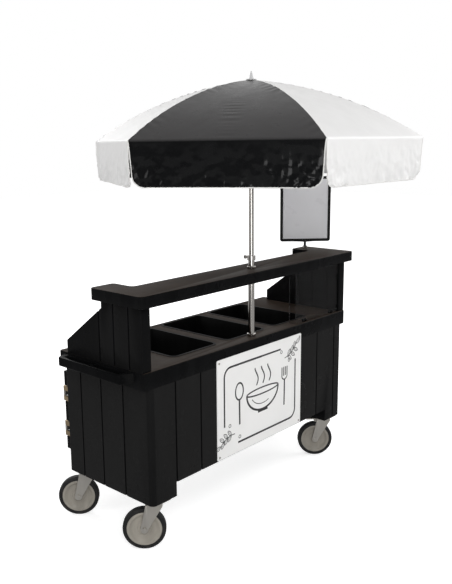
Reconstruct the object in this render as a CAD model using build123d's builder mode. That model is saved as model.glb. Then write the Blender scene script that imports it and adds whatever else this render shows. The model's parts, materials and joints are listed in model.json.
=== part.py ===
from build123d import *
import os
from math import cos, hypot, radians, sin, sqrt, tan

# Mobile vending cart, in millimetres. +X along the length, +Y to the operator's side, +Z up;
# the customer stands at -Y. The places below are measured from the middle of the cart, and
# the pieces are saved with the origin on the floor under the mast, the middle of the whole.

# Cart body
body_length = 1534
body_depth = 600
body_wall = 12
foot_level = 244
foot_length = 157
belly_level = 312
front_corner_radius = 26
back_corner_radius = 12
back_corner_inside = 1
groove_width = 9
groove_cut = 4
front_groove_places = (
    157 - body_length / 2,
    324 - body_length / 2,
    body_length / 2 - 250,
    body_length / 2 - 78,
)
end_groove_places = (-120, 34, 184)
divider_thickness = 12
divider_gap = 0.5

# Counter and wells
counter_overhang = 33
counter_length = body_length + 2 * counter_overhang
counter_depth = body_depth
counter_top = 875
counter_thickness = 78
counter_skin = 18
counter_end_rim = 48
counter_side_rim = 30
counter_corner_radius = 14
counter_edge_round = 5
well_count = 3
well_pitch = 381
well_length = 300
well_front_margin = 88
well_back_margin = 32
well_depth = counter_depth - well_front_margin - well_back_margin
well_corner_radius = 30
liner_drop = 150
liner_wall = 2
liner_flange = 9
liner_clearance = 0.5

# End guards and customer shelf
guard_thickness = 56
guard_front = 8 - counter_depth / 2
guard_back = counter_depth / 2 - 65
guard_step_back = guard_front + 262
guard_step_height = 38
guard_slope_foot = 60
guard_edge_round = 6
guard_groove_places = (guard_front + 82, guard_front + 182, guard_front + 282)
shelf_overhang = 30
shelf_length = counter_length + 2 * shelf_overhang
shelf_front = -counter_depth / 2 - shelf_overhang
shelf_strip_back = shelf_front + 210
shelf_arm_back = shelf_front + 340
shelf_arm_width = 141
shelf_top = 1222
shelf_thickness = 54
shelf_skin = 16
shelf_lip = 20
shelf_corner_radius = 22
shelf_edge_round = 4

# Clear shield in the right bay
shield_length = 411
shield_thickness = 5
shield_front = guard_front + 7
shield_return = 45
clip_width = 30
clip_height = 15
clip_depth = 12

# Front banner
banner_length = 690
banner_thickness = 3
banner_bottom = 316
banner_top = 826
banner_corner_radius = 8
banner_centre = 12
screw_inset = 16
screw_head_radius = 5
screw_head_height = 2.5
screw_radius = 2.5

# End handles
handle_reach = 62
handle_front = 93 - counter_depth / 2
handle_back = counter_depth / 2 - 78
handle_height = 44
handle_top = 868
handle_slot_width = 30
handle_rim = 17
handle_web = 27
handle_slot_end = 20
handle_bevel = 28

# Operator-side doors and their hinges
door_thickness = 38
door_bottom = 346
door_top = 751
door_outer_edge = body_length / 2 - 15
door_inner_edge = 6
door_gap = 0.5
door_frame = 30
door_edge_round = 4
hinge_heights = (451, 634)
hinge_height = 84
hinge_knuckle_radius = 6
hinge_pin_radius = 2.5
hinge_post = 12
hinge_notch = 19
hinge_leaf = 36
hinge_leaf_thickness = 3
hinge_end_gap = 4
pull_length = 120
pull_radius = 6
pull_foot_radius = 5
pull_reach = 30
pull_inset = 60

# Chassis inside the body
chassis_plate = 5
chassis_plate_length = foot_length - 35
chassis_plate_depth = body_depth - 28
chassis_tube = 30
chassis_rail_y = body_depth / 2 - 120

# Casters
caster_x = body_length / 2 - 73
caster_y = body_depth / 2 - 57
trail_x = -39
trail_y = 41
wheel_radius = 101.6
tyre_thickness = 19
tyre_width = 38
tyre_shoulder = 9
tyre_gap = 0.1
hub_radius = 19
hub_width = 44
rim_width = 34
rim_thickness = 10
web_thickness = 12
axle_radius = 6
axle_head_radius = 10
axle_head = 5
running_gap = 0.05
side_gap = 0.5
fork_leg = 4
fork_eye_radius = 18
fork_crown_height = 14
fork_front_reach = 30
fork_back_reach = 50
swivel_gap = 0.3
race_radius = 30
race_height = 8
kingpin_radius = 8
kingpin_head_radius = 13
kingpin_head = 4
plate_thickness = 5
plate_length = 95
plate_depth = 105
plate_corner_radius = 8
bolt_spacing_x = 68
bolt_spacing_y = 66
bolt_radius = 5
bolt_head_radius = 8.5
bolt_head = 6
bolt_clearance = 0.3
pedal_pivot_x = 44
pedal_knuckle = 5.2
pedal_pin = 3
pedal_length = 66
pedal_width = 40
pedal_thickness = 6
shoe_length = 12
shoe_drop = 15

# Mast
mast_y = 55 - counter_depth / 2
lower_mast_radius = 16
upper_mast_radius = 12.5
mast_bore_clearance = 0.1
mast_slide_clearance = 0.4
lower_mast_top = 1290
upper_mast_wall = 2
upper_mast_tail = 1090
socket_radius = 26
socket_height = 120
socket_floor = 8
collar_radius = 22
collar_height = 12
clamp_radius = 21
clamp_height = 24
knob_radius = 9
knob_reach = 34
knob_stem_radius = 4

# Umbrella
rib_count = 6
umbrella_radius = 800
umbrella_edge = 1858
umbrella_rise = 280
canopy_sagitta = 51
canopy_thickness = 2
canopy_hole = 14
canopy_seam = 0.3
flap_drop = 190
flap_corner_radius = 55
hub_height = 18
hub_disc_radius = 36
hub_below_apex = 16
rib_pivot_radius = 30
rib_width = 8
rib_height = 8
rib_below_canopy = 9.2
rib_tip_radius = 790
rib_eye_radius = 6
pin_radius = 2.5
pin_clearance = 0.1
pin_grip = 2
slot_clearance = 0.3
lug_radius = 280
lug_drop = 13
lug_cheek = 2.3
lug_eye_radius = 5
stretcher_length = 420
stretcher_height = 7
stretcher_side_gap = 0.3
runner_pivot_radius = 26
runner_disc_radius = 34
runner_disc_height = 12
runner_sleeve_radius = 19
runner_sleeve_up = 20
runner_sleeve_down = 32
finial_disc_radius = 26
finial_disc_height = 4
finial_cone_radius = 12
finial_tip_radius = 2
finial_height = 42

# Sign on the right shelf arm
sign_x = shelf_length / 2 - 84
sign_y = shelf_arm_back - 60
sign_facing = -47
sign_width = 295
sign_height = 381
sign_bar = 16
sign_frame_depth = 14
sign_corner_radius = 14
sign_panel_thickness = 4
sign_panel_gap = 0.4
sign_stand_off = 43
stem_radius = 7
stem_clearance = 0.1
sign_socket_radius = 13
sign_socket_height = 18
sign_socket_depth = 12

# Places worked out from the sizes
counter_under = counter_top - counter_thickness
shelf_under = shelf_top - shelf_thickness
body_front = -body_depth / 2
body_back = body_depth / 2
belly_floor = belly_level + body_wall
well_centre_y = (well_front_margin - well_back_margin) / 2
well_places = [(i - (well_count - 1) / 2) * well_pitch for i in range(well_count)]
foot_middle = body_length / 2 - foot_length / 2
guard_outer = counter_length / 2
guard_inner = guard_outer - guard_thickness
shield_left = guard_inner - shield_length
caster_places = {
    "front_left": (-caster_x, -caster_y),
    "front_right": (caster_x, -caster_y),
    "back_left": (-caster_x, caster_y),
    "back_right": (caster_x, caster_y),
}
braked_casters = ("front_right", "back_right")
trail = hypot(trail_x, trail_y)
trail_direction = Vector(trail_x / trail, trail_y / trail, 0)
umbrella_apex = umbrella_edge + umbrella_rise
edge_distance = umbrella_radius * cos(radians(180 / rib_count))

mast_plane = Plane((0, mast_y, 0))
mast_hole_radius = lower_mast_radius + mast_slide_clearance
sign_plane = Plane((sign_x, sign_y, 0))

os.makedirs("parts", exist_ok=True)
to_mast_foot = Location((0, -mast_y, 0))


def save(piece, name):
    """Label a finished piece and write it under its own name."""
    placed = piece.part.moved(to_mast_foot)
    placed.label = name
    export_step(placed, f"parts/{name}.step")


def save_group(pieces, name):
    """Write several finished pieces as the separate solids of one node."""
    solids = [solid.moved(to_mast_foot) for piece in pieces for solid in piece.part.solids()]
    group = Compound(children=solids)
    group.label = name
    export_step(group, f"parts/{name}.step")


def block(low, high, mode=Mode.ADD):
    """A box between two corners, in the part being built."""
    middle = tuple((a + b) / 2 for a, b in zip(low, high))
    with Locations(middle):
        Box(high[0] - low[0], high[1] - low[1], high[2] - low[2], mode=mode)


def cart_plan(level, length, depth, front_radius, back_radius):
    """The rounded outline of the cart at a level, with its own front and back corners."""
    with BuildSketch(Plane.XY.offset(level)) as plan:
        Rectangle(length, depth)
        fillet(plan.vertices().group_by(Axis.Y)[0], radius=front_radius)
        fillet(plan.vertices().group_by(Axis.Y)[-1], radius=back_radius)
    return plan.sketch


def rod(plane, radius, start, end, mode=Mode.ADD):
    """A round rod along the plane's normal, in the part being built."""
    with BuildSketch(plane.offset(start)) as section:
        Circle(radius)
    extrude(section.sketch, amount=end - start, mode=mode)


# Body shell: one hollow moulding, open at the top, with two door openings at the back
with BuildPart() as body_shell:
    extrude(
        cart_plan(foot_level, body_length, body_depth, front_corner_radius, back_corner_radius),
        amount=counter_under - foot_level,
    )
    belly_half = body_length / 2 - foot_length
    block((-belly_half, body_front, foot_level), (belly_half, body_back, belly_level), Mode.SUBTRACT)
    extrude(
        cart_plan(
            belly_floor,
            body_length - 2 * body_wall,
            body_depth - 2 * body_wall,
            front_corner_radius - body_wall,
            back_corner_inside,
        ),
        amount=counter_under - belly_floor,
        mode=Mode.SUBTRACT,
    )
    for side in (-1, 1):
        with BuildSketch(Plane.XY.offset(foot_level + body_wall)) as pocket:
            with Locations((side * foot_middle, 0)):
                Rectangle(foot_length - 2 * body_wall, body_depth - 2 * body_wall)
        extrude(pocket.sketch, amount=belly_level - foot_level, mode=Mode.SUBTRACT)
        near = side * (door_inner_edge + door_frame)
        far = side * (door_outer_edge - door_frame)
        block(
            (min(near, far), body_back - body_wall - 1, door_bottom + door_frame),
            (max(near, far), body_back + 1, door_top - door_frame),
            Mode.SUBTRACT,
        )
    for place in front_groove_places:
        block(
            (place - groove_width / 2, body_front - 1, foot_level - 1),
            (place + groove_width / 2, body_front + groove_cut, counter_under + 1),
            Mode.SUBTRACT,
        )
    for side in (-1, 1):
        outer = side * body_length / 2
        inner = side * (body_length / 2 - groove_cut)
        for place in end_groove_places:
            block(
                (min(outer, inner) - (side < 0), place - groove_width / 2, foot_level - 1),
                (max(outer, inner) + (side > 0), place + groove_width / 2, counter_under + 1),
                Mode.SUBTRACT,
            )
    for x, y in caster_places.values():
        with BuildSketch(Plane.XY.offset(foot_level)) as bolt_holes:
            with Locations((x, y)):
                with GridLocations(bolt_spacing_x, bolt_spacing_y, 2, 2):
                    Circle(bolt_radius + bolt_clearance)
        extrude(bolt_holes.sketch, amount=body_wall, mode=Mode.SUBTRACT)
save(body_shell, "body_shell")

# Upright panel that splits the cupboard in two, standing on the chassis rails
with BuildPart() as cupboard_divider:
    block(
        (-divider_thickness / 2, mast_y + socket_radius + divider_gap, belly_floor + chassis_tube),
        (divider_thickness / 2, body_back - body_wall, counter_top - liner_drop - divider_gap),
    )
save(cupboard_divider, "cupboard_divider")

# Chassis: a plate in each foot and, on each side, a rail over the belly on two posts
plate_low = foot_level + body_wall
chassis_bars = []
for side in (-1, 1):
    x = side * foot_middle
    with BuildPart() as foot_plate:
        block(
            (x - chassis_plate_length / 2, -chassis_plate_depth / 2, plate_low),
            (x + chassis_plate_length / 2, chassis_plate_depth / 2, plate_low + chassis_plate),
        )
        with BuildSketch(Plane.XY.offset(plate_low)) as bolt_holes:
            for place in caster_places.values():
                if place[0] * side > 0:
                    with Locations(place):
                        with GridLocations(bolt_spacing_x, bolt_spacing_y, 2, 2):
                            Circle(bolt_radius + bolt_clearance)
        extrude(bolt_holes.sketch, amount=chassis_plate, mode=Mode.SUBTRACT)
    chassis_bars.append(foot_plate)
for rail_side in (-1, 1):
    y = rail_side * chassis_rail_y
    with BuildPart() as rail:
        block(
            (-foot_middle - chassis_tube / 2, y - chassis_tube / 2, belly_floor),
            (foot_middle + chassis_tube / 2, y + chassis_tube / 2, belly_floor + chassis_tube),
        )
    chassis_bars.append(rail)
    for side in (-1, 1):
        x = side * foot_middle
        with BuildPart() as post:
            block(
                (x - chassis_tube / 2, y - chassis_tube / 2, plate_low + chassis_plate),
                (x + chassis_tube / 2, y + chassis_tube / 2, belly_floor),
            )
        chassis_bars.append(post)
save_group(chassis_bars, "chassis_frame")

# Counter top: a moulded slab, hollow underneath, with three well openings and the mast hole
with BuildPart() as counter:
    extrude(
        cart_plan(
            counter_under, counter_length, counter_depth, counter_corner_radius, counter_corner_radius
        ),
        amount=counter_thickness,
    )
    fillet(counter.faces().sort_by(Axis.Z)[-1].edges(), radius=counter_edge_round)
    block(
        (-counter_length / 2 + counter_end_rim, -counter_depth / 2 + counter_side_rim, counter_under),
        (
            counter_length / 2 - counter_end_rim,
            counter_depth / 2 - counter_side_rim,
            counter_top - counter_skin,
        ),
        Mode.SUBTRACT,
    )
    with BuildSketch(Plane.XY.offset(counter_top)) as wells:
        with Locations(*[(place, well_centre_y) for place in well_places]):
            RectangleRounded(well_length, well_depth, well_corner_radius)
    extrude(wells.sketch, amount=-counter_skin, mode=Mode.SUBTRACT)
    rod(mast_plane, mast_hole_radius, counter_under, counter_top, Mode.SUBTRACT)
save(counter, "counter_top")

# Three liners that hang in the wells by their flanges
with BuildPart() as liners:
    for place in well_places:
        pan_length = well_length - 2 * liner_clearance
        pan_depth = well_depth - 2 * liner_clearance
        with BuildSketch(Plane.XY.offset(counter_top - liner_drop)) as pan:
            with Locations((place, well_centre_y)):
                RectangleRounded(pan_length, pan_depth, well_corner_radius - liner_clearance)
        extrude(pan.sketch, amount=liner_drop)
        with BuildSketch(Plane.XY.offset(counter_top)) as flange:
            with Locations((place, well_centre_y)):
                RectangleRounded(
                    well_length + 2 * liner_flange,
                    well_depth + 2 * liner_flange,
                    well_corner_radius + liner_flange,
                )
        extrude(flange.sketch, amount=liner_wall)
        with BuildSketch(Plane.XY.offset(counter_top - liner_drop + liner_wall)) as hollow:
            with Locations((place, well_centre_y)):
                RectangleRounded(
                    pan_length - 2 * liner_wall,
                    pan_depth - 2 * liner_wall,
                    well_corner_radius - liner_clearance - liner_wall,
                )
        extrude(hollow.sketch, amount=liner_drop, mode=Mode.SUBTRACT)
save(liners, "well_liners")

# End guards: stepped side panels between the counter and the shelf, grooved on both faces
for name, side in (("left", -1), ("right", 1)):
    with BuildPart() as guard:
        with BuildSketch(Plane.YZ.offset(guard_inner if side > 0 else -guard_outer)) as profile:
            with BuildLine():
                Polyline(
                    (guard_front, counter_top),
                    (guard_front, shelf_under),
                    (guard_step_back, shelf_under),
                    (guard_step_back, shelf_under - guard_step_height),
                    (guard_back, counter_top + guard_slope_foot),
                    (guard_back, counter_top),
                    close=True,
                )
            make_face()
        extrude(profile.sketch, amount=guard_thickness)
        rear = guard.faces().filter_by(Axis.Y).sort_by(Axis.Y)[-1]
        fillet(rear.edges().filter_by(Axis.Z), radius=guard_edge_round)
        nose = guard.faces().filter_by(Axis.Y).sort_by(Axis.Y)[0]
        fillet(nose.edges().filter_by(Axis.Z), radius=guard_edge_round)
        for face_x, depth in ((side * guard_inner, side), (side * guard_outer, -side)):
            for place in guard_groove_places:
                cut = face_x + depth * groove_cut
                block(
                    (min(face_x, cut), place - groove_width / 2, counter_top),
                    (max(face_x, cut), place + groove_width / 2, shelf_under),
                    Mode.SUBTRACT,
                )
    save(guard, f"end_guard_{name}")

# Customer shelf: a front strip with an arm back along each end, lipped and hollow below
with BuildPart() as shelf:
    half = shelf_length / 2
    with BuildSketch(Plane.XY.offset(shelf_under)) as shelf_plan:
        with BuildLine():
            Polyline(
                (-half, shelf_front),
                (half, shelf_front),
                (half, shelf_arm_back),
                (half - shelf_arm_width, shelf_arm_back),
                (half - shelf_arm_width, shelf_strip_back),
                (-half + shelf_arm_width, shelf_strip_back),
                (-half + shelf_arm_width, shelf_arm_back),
                (-half, shelf_arm_back),
                close=True,
            )
        make_face()
        fillet(shelf_plan.vertices(), radius=shelf_corner_radius)
    extrude(shelf_plan.sketch, amount=shelf_thickness)
    fillet(shelf.faces().sort_by(Axis.Z)[-1].edges(), radius=shelf_edge_round)
    block(
        (-guard_inner + shelf_lip, shelf_front + shelf_lip, shelf_under),
        (guard_inner - shelf_lip, shelf_strip_back - shelf_lip, shelf_top - shelf_skin),
        Mode.SUBTRACT,
    )
    rod(mast_plane, mast_hole_radius, shelf_under, shelf_top, Mode.SUBTRACT)
    rod(sign_plane, stem_radius + stem_clearance, shelf_top - sign_socket_depth, shelf_top, Mode.SUBTRACT)
save(shelf, "customer_shelf")

# Clear shield in the right bay, with its left edge bent back
with BuildPart() as shield:
    with BuildSketch(Plane.XY.offset(counter_top)) as shield_plan:
        with BuildLine():
            Polyline(
                (shield_left, shield_front),
                (guard_inner, shield_front),
                (guard_inner, shield_front + shield_thickness),
                (shield_left + shield_thickness, shield_front + shield_thickness),
                (shield_left + shield_thickness, shield_front + shield_return),
                (shield_left, shield_front + shield_return),
                close=True,
            )
        make_face()
    extrude(shield_plan.sketch, amount=shelf_under - counter_top)
save(shield, "clear_shield")

# Clips that hold the shield to the counter and the shelf
with BuildPart() as shield_clips:
    clip_front = shield_front + shield_thickness
    for place in (shield_left + 3 * clip_width, guard_inner - 2 * clip_width):
        for low in (counter_top, shelf_under - clip_height):
            block(
                (place - clip_width / 2, clip_front, low),
                (place + clip_width / 2, clip_front + clip_depth, low + clip_height),
            )
save(shield_clips, "shield_clips")

# Banner on the front face
banner_front = body_front - banner_thickness
with BuildPart() as banner:
    with BuildSketch(Plane.XZ.offset(-body_front)) as board:
        with Locations((banner_centre, (banner_bottom + banner_top) / 2)):
            RectangleRounded(banner_length, banner_top - banner_bottom, banner_corner_radius)
    extrude(board.sketch, amount=banner_thickness)
    with BuildSketch(Plane.XZ.offset(-body_front)) as holes:
        with Locations((banner_centre, (banner_bottom + banner_top) / 2)):
            with GridLocations(
                banner_length - 2 * screw_inset, banner_top - banner_bottom - 2 * screw_inset, 2, 2
            ):
                Circle(screw_radius + bolt_clearance)
    extrude(holes.sketch, amount=banner_thickness, mode=Mode.SUBTRACT)
save(banner, "front_banner")

with BuildPart() as banner_screws:
    with BuildSketch(Plane.XZ.offset(-banner_front)) as heads:
        with Locations((banner_centre, (banner_bottom + banner_top) / 2)):
            with GridLocations(
                banner_length - 2 * screw_inset, banner_top - banner_bottom - 2 * screw_inset, 2, 2
            ):
                Circle(screw_head_radius)
    extrude(heads.sketch, amount=screw_head_height)
    with BuildSketch(Plane.XZ.offset(-body_front)) as shanks:
        with Locations((banner_centre, (banner_bottom + banner_top) / 2)):
            with GridLocations(
                banner_length - 2 * screw_inset, banner_top - banner_bottom - 2 * screw_inset, 2, 2
            ):
                Circle(screw_radius)
    extrude(shanks.sketch, amount=banner_thickness)
save(banner_screws, "banner_screws")

# End handles: a rail at each end with two grip slots and a web between them
handles = []
for side in (-1, 1):
    inner = side * counter_length / 2
    outer = side * (counter_length / 2 + handle_reach)
    with BuildPart() as handle:
        with BuildSketch(Plane.XY.offset(handle_top - handle_height)) as handle_plan:
            with BuildLine():
                Polyline(
                    (inner, handle_front - handle_bevel),
                    (outer, handle_front),
                    (outer, handle_back),
                    (inner, handle_back + handle_bevel),
                    close=True,
                )
            make_face()
        extrude(handle_plan.sketch, amount=handle_height)
        fillet(handle.faces().sort_by(Axis.X)[-1 if side > 0 else 0].edges(), radius=handle_rim / 3)
        middle = (handle_front + handle_back) / 2
        slot_outer = side * (counter_length / 2 + handle_reach - handle_rim)
        slot_inner = side * (counter_length / 2 + handle_reach - handle_rim - handle_slot_width)
        for low, high in (
            (handle_front + handle_slot_end, middle - handle_web / 2),
            (middle + handle_web / 2, handle_back - handle_slot_end),
        ):
            with BuildSketch(Plane.XY.offset(handle_top)) as slot:
                with Locations(((slot_outer + slot_inner) / 2, (low + high) / 2)):
                    RectangleRounded(handle_slot_width, high - low, handle_rim / 3)
            extrude(slot.sketch, amount=-handle_height, mode=Mode.SUBTRACT)
    handles.append(handle)
save_group(handles, "end_handles")

# Operator-side doors, notched where the hinges stand, with a leaf set on the outer face
door_inside = body_back + door_gap
door_outside = door_inside + door_thickness
hinge_axis_x = door_outer_edge - hinge_knuckle_radius
hinge_axis_y = door_outside + hinge_knuckle_radius - door_gap
for name, side in (("left", -1), ("right", 1)):
    edge = side * door_outer_edge
    near = side * door_inner_edge
    notch = side * (door_outer_edge - hinge_notch)
    axis_x = side * hinge_axis_x
    with BuildPart() as door:
        block(
            (min(edge, near), door_inside, door_bottom),
            (max(edge, near), door_outside, door_top),
        )
        fillet(door.faces().sort_by(Axis.Y)[-1].edges(), radius=door_edge_round)
        for height in hinge_heights:
            block(
                (min(edge, notch), door_inside, height - hinge_height / 2),
                (max(edge, notch), door_outside, height + hinge_height / 2),
                Mode.SUBTRACT,
            )
    save(door, f"door_{name}")

    # The moving half of each hinge: a leaf on the door's face and the middle knuckle
    with BuildPart() as leaves:
        leaf_far = side * (door_outer_edge - hinge_notch - hinge_leaf)
        for height in hinge_heights:
            third = hinge_height / 6
            leaf_half = hinge_height / 2 - hinge_end_gap
            block(
                (min(notch, leaf_far), door_outside, height - leaf_half),
                (max(notch, leaf_far), door_outside + hinge_leaf_thickness, height + leaf_half),
            )
            block(
                (min(axis_x, notch), door_outside, height - third + swivel_gap),
                (max(axis_x, notch), door_outside + hinge_leaf_thickness, height + third - swivel_gap),
            )
            axis = Plane((axis_x, hinge_axis_y, 0))
            rod(axis, hinge_knuckle_radius, height - third + swivel_gap, height + third - swivel_gap)
            rod(axis, hinge_pin_radius + running_gap, height - third, height + third, Mode.SUBTRACT)
    save(leaves, f"hinge_leaves_{name}")

# The fixed halves of the hinges: a post on the body, the end knuckles and the pin
with BuildPart() as hinge_posts:
    for side in (-1, 1):
        axis_x = side * hinge_axis_x
        axis = Plane((axis_x, hinge_axis_y, 0))
        for height in hinge_heights:
            third = hinge_height / 6
            low = height - (hinge_height / 2 - hinge_end_gap)
            high = height + (hinge_height / 2 - hinge_end_gap)
            for start, end in ((low, height - third), (height + third, high)):
                block(
                    (axis_x - hinge_post / 2, body_back, start),
                    (axis_x + hinge_post / 2, hinge_axis_y, end),
                )
                rod(axis, hinge_knuckle_radius, start, end)
            rod(axis, hinge_pin_radius, low, high)
save(hinge_posts, "hinge_posts")

# A fixed pull on each door
for name, side in (("left", -1), ("right", 1)):
    x = side * (door_inner_edge + pull_inset)
    middle = (door_bottom + door_top) / 2
    with BuildPart() as pull:
        low = middle - pull_length / 2
        high = middle + pull_length / 2
        rod(Plane((x, door_outside + pull_reach, 0)), pull_radius, low, high)
        for height in (low + pull_radius, high - pull_radius):
            foot = Plane((x, door_outside, height), x_dir=(1, 0, 0), z_dir=(0, 1, 0))
            rod(foot, pull_foot_radius, 0, pull_reach)
    save(pull, f"door_pull_{name}")

# Casters. Each has its own planes: one flat on the swivel axis, one upright along the trail
plate_top = foot_level
plate_under = plate_top - plate_thickness
race_under = plate_under - race_height
crown_top = race_under - swivel_gap
crown_under = crown_top - fork_crown_height
fork_inside = hub_width / 2 + side_gap
fork_outside = fork_inside + fork_leg
caster_tops = []
for x, y in caster_places.values():
    with BuildPart() as top_plate:
        with BuildSketch(Plane.XY.offset(plate_under)) as plate:
            with Locations((x, y)):
                RectangleRounded(plate_length, plate_depth, plate_corner_radius)
                with GridLocations(bolt_spacing_x, bolt_spacing_y, 2, 2):
                    Circle(bolt_radius + bolt_clearance, mode=Mode.SUBTRACT)
        extrude(plate.sketch, amount=plate_thickness)
    with BuildPart() as kingpin:
        axis = Plane((x, y, 0))
        rod(axis, race_radius, race_under, plate_under)
        rod(axis, kingpin_radius, crown_under - swivel_gap - kingpin_head, race_under)
        rod(axis, kingpin_head_radius, crown_under - swivel_gap - kingpin_head, crown_under - swivel_gap)
    caster_tops += [top_plate, kingpin]
save_group(caster_tops, "caster_plates")

with BuildPart() as caster_bolts:
    bolt_end = foot_level + body_wall + chassis_plate
    for x, y in caster_places.values():
        for start, height, radius, sides in (
            (plate_under - bolt_head, bolt_head, bolt_head_radius, 6),
            (plate_under, bolt_end - plate_under, bolt_radius, 0),
            (bolt_end, bolt_head, bolt_head_radius, 6),
        ):
            with BuildSketch(Plane.XY.offset(start)) as section:
                with Locations((x, y)):
                    with GridLocations(bolt_spacing_x, bolt_spacing_y, 2, 2):
                        if sides:
                            RegularPolygon(radius, sides)
                        else:
                            Circle(radius)
            extrude(section.sketch, amount=height)
save(caster_bolts, "caster_bolts")

for name, (x, y) in caster_places.items():
    flat = Plane((x, y, 0), x_dir=trail_direction, z_dir=(0, 0, 1))
    upright = Plane((x, y, 0), x_dir=trail_direction, z_dir=(trail_direction.Y, -trail_direction.X, 0))
    axle_plane = Plane(flat.from_local_coords((trail, 0, wheel_radius)), z_dir=upright.z_dir)
    pivot_height = (crown_top + crown_under) / 2
    pivot_plane = Plane(flat.from_local_coords((pedal_pivot_x, 0, pivot_height)), z_dir=upright.z_dir)
    with BuildPart() as fork:
        for start in (fork_inside, -fork_outside):
            with BuildSketch(upright.offset(start)) as leg:
                with BuildLine():
                    Polyline(
                        (-fork_front_reach, crown_top),
                        (-fork_front_reach, crown_under),
                        (trail - fork_eye_radius, wheel_radius),
                        (trail + fork_eye_radius, wheel_radius),
                        (fork_back_reach, crown_under),
                        (fork_back_reach, crown_top),
                        close=True,
                    )
                make_face()
                with Locations((trail, wheel_radius)):
                    Circle(fork_eye_radius)
                    Circle(axle_radius + running_gap, mode=Mode.SUBTRACT)
                with Locations((pedal_pivot_x, pivot_height)):
                    Circle(pedal_pin + running_gap, mode=Mode.SUBTRACT)
            extrude(leg.sketch, amount=fork_leg)
        with BuildSketch(flat.offset(crown_under)) as crown:
            with Locations((0, 0)):
                Rectangle(2 * fork_front_reach, 2 * fork_outside)
        extrude(crown.sketch, amount=fork_crown_height)
        rod(flat, kingpin_radius + running_gap, crown_under, crown_top, Mode.SUBTRACT)

    # The axle bolt is a solid of its own in the fork's node
    with BuildPart() as axle:
        rod(axle_plane, axle_radius, -fork_outside, fork_outside)
        rod(axle_plane, axle_head_radius, fork_outside, fork_outside + axle_head)
        rod(axle_plane, axle_head_radius, -fork_outside - axle_head, -fork_outside)
    save_group((fork, axle), f"caster_fork_{name}")

    # Wheel: hub, web and rim turned about the axle
    rim_radius = wheel_radius - tyre_thickness - tyre_gap
    with BuildPart() as wheel:
        for radius, width in ((hub_radius, hub_width), (rim_radius, web_thickness)):
            rod(axle_plane, radius, -width / 2, width / 2)
        rod(axle_plane, rim_radius, -rim_width / 2, -web_thickness / 2)
        rod(axle_plane, rim_radius, web_thickness / 2, rim_width / 2)
        for start, end in ((-rim_width / 2, -web_thickness / 2), (web_thickness / 2, rim_width / 2)):
            with BuildSketch(axle_plane.offset(start)) as dish:
                Circle(rim_radius - rim_thickness)
                Circle(hub_radius, mode=Mode.SUBTRACT)
            extrude(dish.sketch, amount=end - start, mode=Mode.SUBTRACT)
        rod(axle_plane, axle_radius + running_gap, -hub_width / 2, hub_width / 2, Mode.SUBTRACT)
    save(wheel, f"caster_wheel_{name}")

    with BuildPart() as tyre:
        rod(axle_plane, wheel_radius, -tyre_width / 2, tyre_width / 2)
        fillet(tyre.edges().filter_by(GeomType.CIRCLE), radius=tyre_shoulder)
        rod(axle_plane, wheel_radius - tyre_thickness, -tyre_width / 2, tyre_width / 2, Mode.SUBTRACT)
    save(tyre, f"caster_tyre_{name}")

    if name in braked_casters:
        with BuildPart() as pedal:
            rod(pivot_plane, pedal_pin, -fork_outside, fork_outside)
            rod(pivot_plane, pedal_knuckle, -pedal_width / 2, pedal_width / 2)
            with BuildSketch(upright.offset(-pedal_width / 2)) as lever:
                pedal_top = pivot_height + pedal_knuckle
                pedal_under = pedal_top - pedal_thickness
                shoe_front = pedal_pivot_x + pedal_knuckle
                with BuildLine():
                    Polyline(
                        (pedal_pivot_x, pedal_top),
                        (pedal_pivot_x + pedal_length, pedal_top),
                        (pedal_pivot_x + pedal_length, pedal_under),
                        (shoe_front + shoe_length, pedal_under),
                        (shoe_front + shoe_length, pivot_height - shoe_drop),
                        (shoe_front, pivot_height - shoe_drop),
                        (shoe_front, pivot_height),
                        (pedal_pivot_x, pivot_height),
                        close=True,
                    )
                make_face()
            extrude(lever.sketch, amount=pedal_width)
        save(pedal, f"brake_pedal_{name}")

# Mast socket on the belly floor
mast_bottom = belly_floor + socket_floor
with BuildPart() as socket:
    rod(mast_plane, socket_radius, belly_floor, belly_floor + socket_height)
    rod(mast_plane, mast_hole_radius, mast_bottom, belly_floor + socket_height, Mode.SUBTRACT)
save(socket, "mast_socket")

# Chromed collars where the mast passes the counter and the shelf, saved with the sign's socket
with BuildPart() as collars:
    for level in (counter_top, shelf_top):
        rod(mast_plane, collar_radius, level, level + collar_height)
        rod(mast_plane, mast_hole_radius, level, level + collar_height, Mode.SUBTRACT)

with BuildPart() as lower_mast:
    rod(mast_plane, lower_mast_radius, mast_bottom, lower_mast_top)
    upper_mast_bore = upper_mast_radius + mast_bore_clearance
    rod(mast_plane, upper_mast_bore, mast_bottom + socket_floor, lower_mast_top, Mode.SUBTRACT)
save(lower_mast, "mast_lower_tube")

# Clamp round the top of the lower tube, with a thumb knob
with BuildPart() as clamp:
    clamp_low = lower_mast_top - clamp_height
    rod(mast_plane, clamp_radius, clamp_low, lower_mast_top)
    knob_plane = Plane((0, mast_y, lower_mast_top - clamp_height / 2), z_dir=(0, 1, 0))
    rod(knob_plane, knob_stem_radius, lower_mast_radius, knob_reach)
    rod(knob_plane, knob_radius, knob_reach, knob_reach + knob_radius)
    rod(mast_plane, lower_mast_radius + running_gap, clamp_low, lower_mast_top, Mode.SUBTRACT)
save(clamp, "mast_clamp")

with BuildPart() as upper_mast:
    rod(mast_plane, upper_mast_radius, upper_mast_tail, umbrella_apex)
    rod(
        mast_plane,
        upper_mast_radius - upper_mast_wall,
        upper_mast_tail,
        umbrella_apex - hub_height,
        Mode.SUBTRACT,
    )
save(upper_mast, "mast_upper_tube")

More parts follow.
